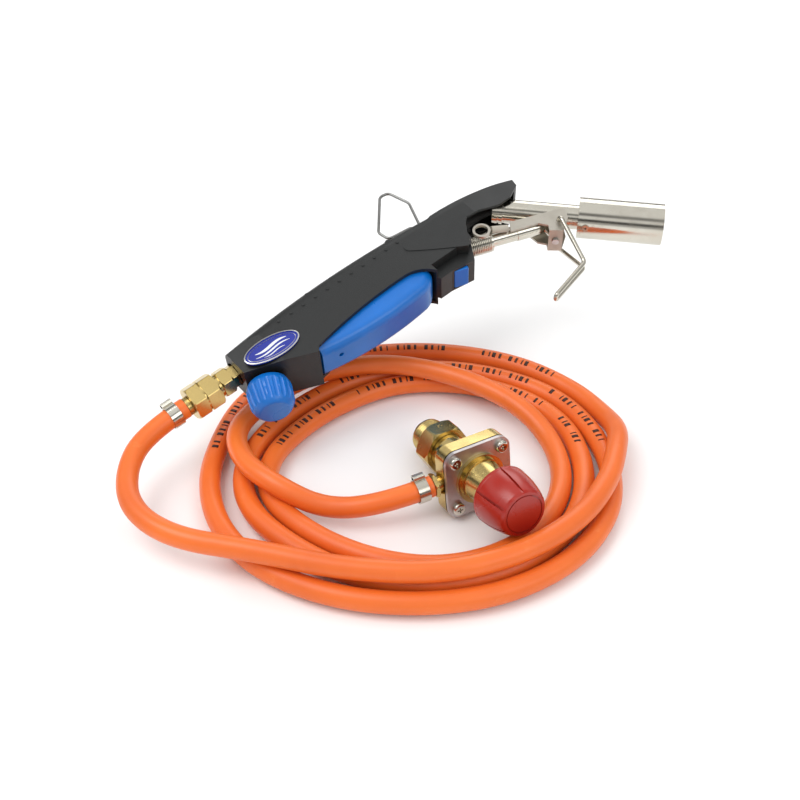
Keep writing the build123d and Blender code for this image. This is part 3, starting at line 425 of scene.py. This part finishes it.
line.points.add(len(ROUTE) - 1)
for spot, place in zip(line.points, ROUTE):
    spot.co = (*(Vector(place) - ROW_ORIGIN), 1.0)
line.order_u = 3
line.use_endpoint_u = True
hose = bpy.data.objects.new("hose", curve)
bpy.context.collection.objects.link(hose)
curve.materials.append(MATERIALS["hose_orange"])
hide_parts("gas_hose")
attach(hose, "torch")


# ---- plain marks printed along the hose ---------------------------------------------------
MARKS_FROM = 0.55
MARK_STEP = 0.0042
MARK_STEPS = 450
MARKED_BEHIND_Y = -0.09
MARK_FACES = Vector((0.0, -0.35, 1.0))
MARK_REACH_DEGREES = 18
INK_ABOVE_HOSE = 0.00006
INK_THICKNESS = 0.00004

bare_curve = curve.copy()
bare_curve.bevel_depth = 0.0
bare_line = bpy.data.objects.new("bare_line", bare_curve)
bare_mesh = bpy.data.meshes.new_from_object(bare_line)
centre = [vertex.co.copy() for vertex in bare_mesh.vertices]
bpy.data.objects.remove(bare_line)
bpy.data.curves.remove(bare_curve)
bpy.data.meshes.remove(bare_mesh)
distance = [0.0]
for before, after in zip(centre, centre[1:]):
    distance.append(distance[-1] + (after - before).length)


def hose_place(along):
    """The middle of the hose and its direction at a distance from the torch."""
    last = len(distance) - 1
    index = max(1, next((i for i, d in enumerate(distance) if d > along), last))
    share = (along - distance[index - 1]) / (distance[index] - distance[index - 1])
    step = centre[index] - centre[index - 1]
    return centre[index - 1] + step * share, step.normalized()


def print_mark(vertices, faces, along, length):
    """One thin curved patch on the hose, two faces long and three faces wide."""
    base = len(vertices)
    for i in range(3):
        middle, forward = hose_place(along + length * i / 2)
        up = (MARK_FACES - forward * forward.dot(MARK_FACES)).normalized()
        side = forward.cross(up)
        for j in range(4):
            turn = math.radians(-MARK_REACH_DEGREES + 2 * MARK_REACH_DEGREES * j / 3)
            out = up * math.cos(turn) + side * math.sin(turn)
            vertices.append(tuple(middle + out * (HOSE_D / 2 + INK_ABOVE_HOSE)))
    for i in range(2):
        for j in range(3):
            at = base + 4 * i + j
            faces.append((at, at + 1, at + 5, at + 4))


# Ticks of three lengths in groups of up to four, with longer gaps, on the back of the turns only.
marks = []
mark_faces = []
for index in range(MARK_STEPS):
    along = MARKS_FROM + MARK_STEP * index
    if index % 19 < 15 and index % 5 < 4 and hose_place(along)[0].y > MARKED_BEHIND_Y:
        print_mark(marks, mark_faces, along, 0.0009 + 0.0008 * (index % 3))
hose_marks = add_piece("hose_marks", marks, mark_faces, Matrix.Identity(4), MATERIALS["hose_ink"], "torch",
                       "hose_orange")
ink = hose_marks.modifiers.new("ink_thickness", "SOLIDIFY")
ink.thickness = INK_THICKNESS


# ---- floor, light and camera ------------------------------------------------------------
FLOOR_REACH = 4.0
FLOOR_GAP = 0.0002
corners = [(-FLOOR_REACH, -FLOOR_REACH, 0), (FLOOR_REACH, -FLOOR_REACH, 0),
           (FLOOR_REACH, FLOOR_REACH, 0), (-FLOOR_REACH, FLOOR_REACH, 0)]
floor_mesh = bpy.data.meshes.new("floor")
floor_mesh.from_pydata(corners, [], [(0, 1, 2, 3)])
floor = bpy.data.objects.new("floor", floor_mesh)
floor.location.z = cad_box[0][2] - FLOOR_GAP
bpy.context.collection.objects.link(floor)
paint = Nodes("floor_paint")
paint.wire("Base Color", paint.mix(paint.noise(3.0), (0.9, 0.9, 0.9), (0.88, 0.88, 0.88)))
paint.set(Roughness=0.7)
floor_mesh.materials.append(paint.material)

# A white world. Reflections see a room of light and dark bands instead: height and grey of each.
ROOM = ((0.0, 0.55), (0.12, 0.5), (0.2, 0.06), (0.36, 0.06), (0.44, 0.95), (0.6, 0.9), (0.7, 0.2),
        (0.8, 0.25), (0.88, 0.95), (1.0, 0.95))
WORLD_STRENGTH = 0.92
world = bpy.data.worlds.new("studio")
world.use_nodes = True
sky = world.node_tree
direction = sky.nodes.new("ShaderNodeTexCoord")
height = sky.nodes.new("ShaderNodeSeparateXYZ")
room = sky.nodes.new("ShaderNodeValToRGB")
glossy = sky.nodes.new("ShaderNodeLightPath").outputs["Is Glossy Ray"]
choice = sky.nodes.new("ShaderNodeMix")
choice.data_type = "RGBA"
choice.inputs[6].default_value = (1.0, 1.0, 1.0, 1.0)
sky.links.new(direction.outputs["Generated"], height.inputs[0])
sky.links.new(height.outputs["Z"], room.inputs[0])
sky.links.new(glossy, choice.inputs[0])
sky.links.new(room.outputs[0], choice.inputs[7])
sky.links.new(choice.outputs[2], sky.nodes["Background"].inputs[0])
steps = room.color_ramp.elements
for step, (position, grey) in zip(steps, (ROOM[0], ROOM[-1])):
    step.position = position
    step.color = (grey, grey, grey, 1.0)
for position, grey in ROOM[1:-1]:
    step = steps.new(position)
    step.color = (grey, grey, grey, 1.0)
sky.nodes["Background"].inputs[1].default_value = WORLD_STRENGTH
bpy.context.scene.world = world


def soft_light(name, place, size, power):
    """A square area light that looks at the frame's origin."""
    lamp = bpy.data.lights.new(name, "AREA")
    lamp.size = size
    lamp.energy = power
    holder = bpy.data.objects.new(name, lamp)
    holder.location = place
    holder.rotation_euler = (-Vector(place)).to_track_quat("-Z", "Y").to_euler()
    bpy.context.collection.objects.link(holder)


soft_light("key", (-0.7, -0.3, 1.3), 0.9, 9.0)
soft_light("fill", (0.9, -0.9, 0.9), 0.8, 3.0)
soft_light("back", (0.2, 1.2, 0.9), 0.9, 5.0)

CAMERA_AT = Vector((0.0, -0.6276, 0.4904))
CAMERA_PITCH = 52.0
camera_data = bpy.data.cameras.new("camera")
camera_data.sensor_width = 36.0
camera_data.lens = 51.17
camera = bpy.data.objects.new("camera", camera_data)
camera.location = CAMERA_AT - ROW_ORIGIN
camera.rotation_euler = (math.radians(CAMERA_PITCH), 0.0, 0.0)
bpy.context.collection.objects.link(camera)
bpy.context.scene.camera = camera
bpy.context.scene.view_settings.view_transform = "Standard"
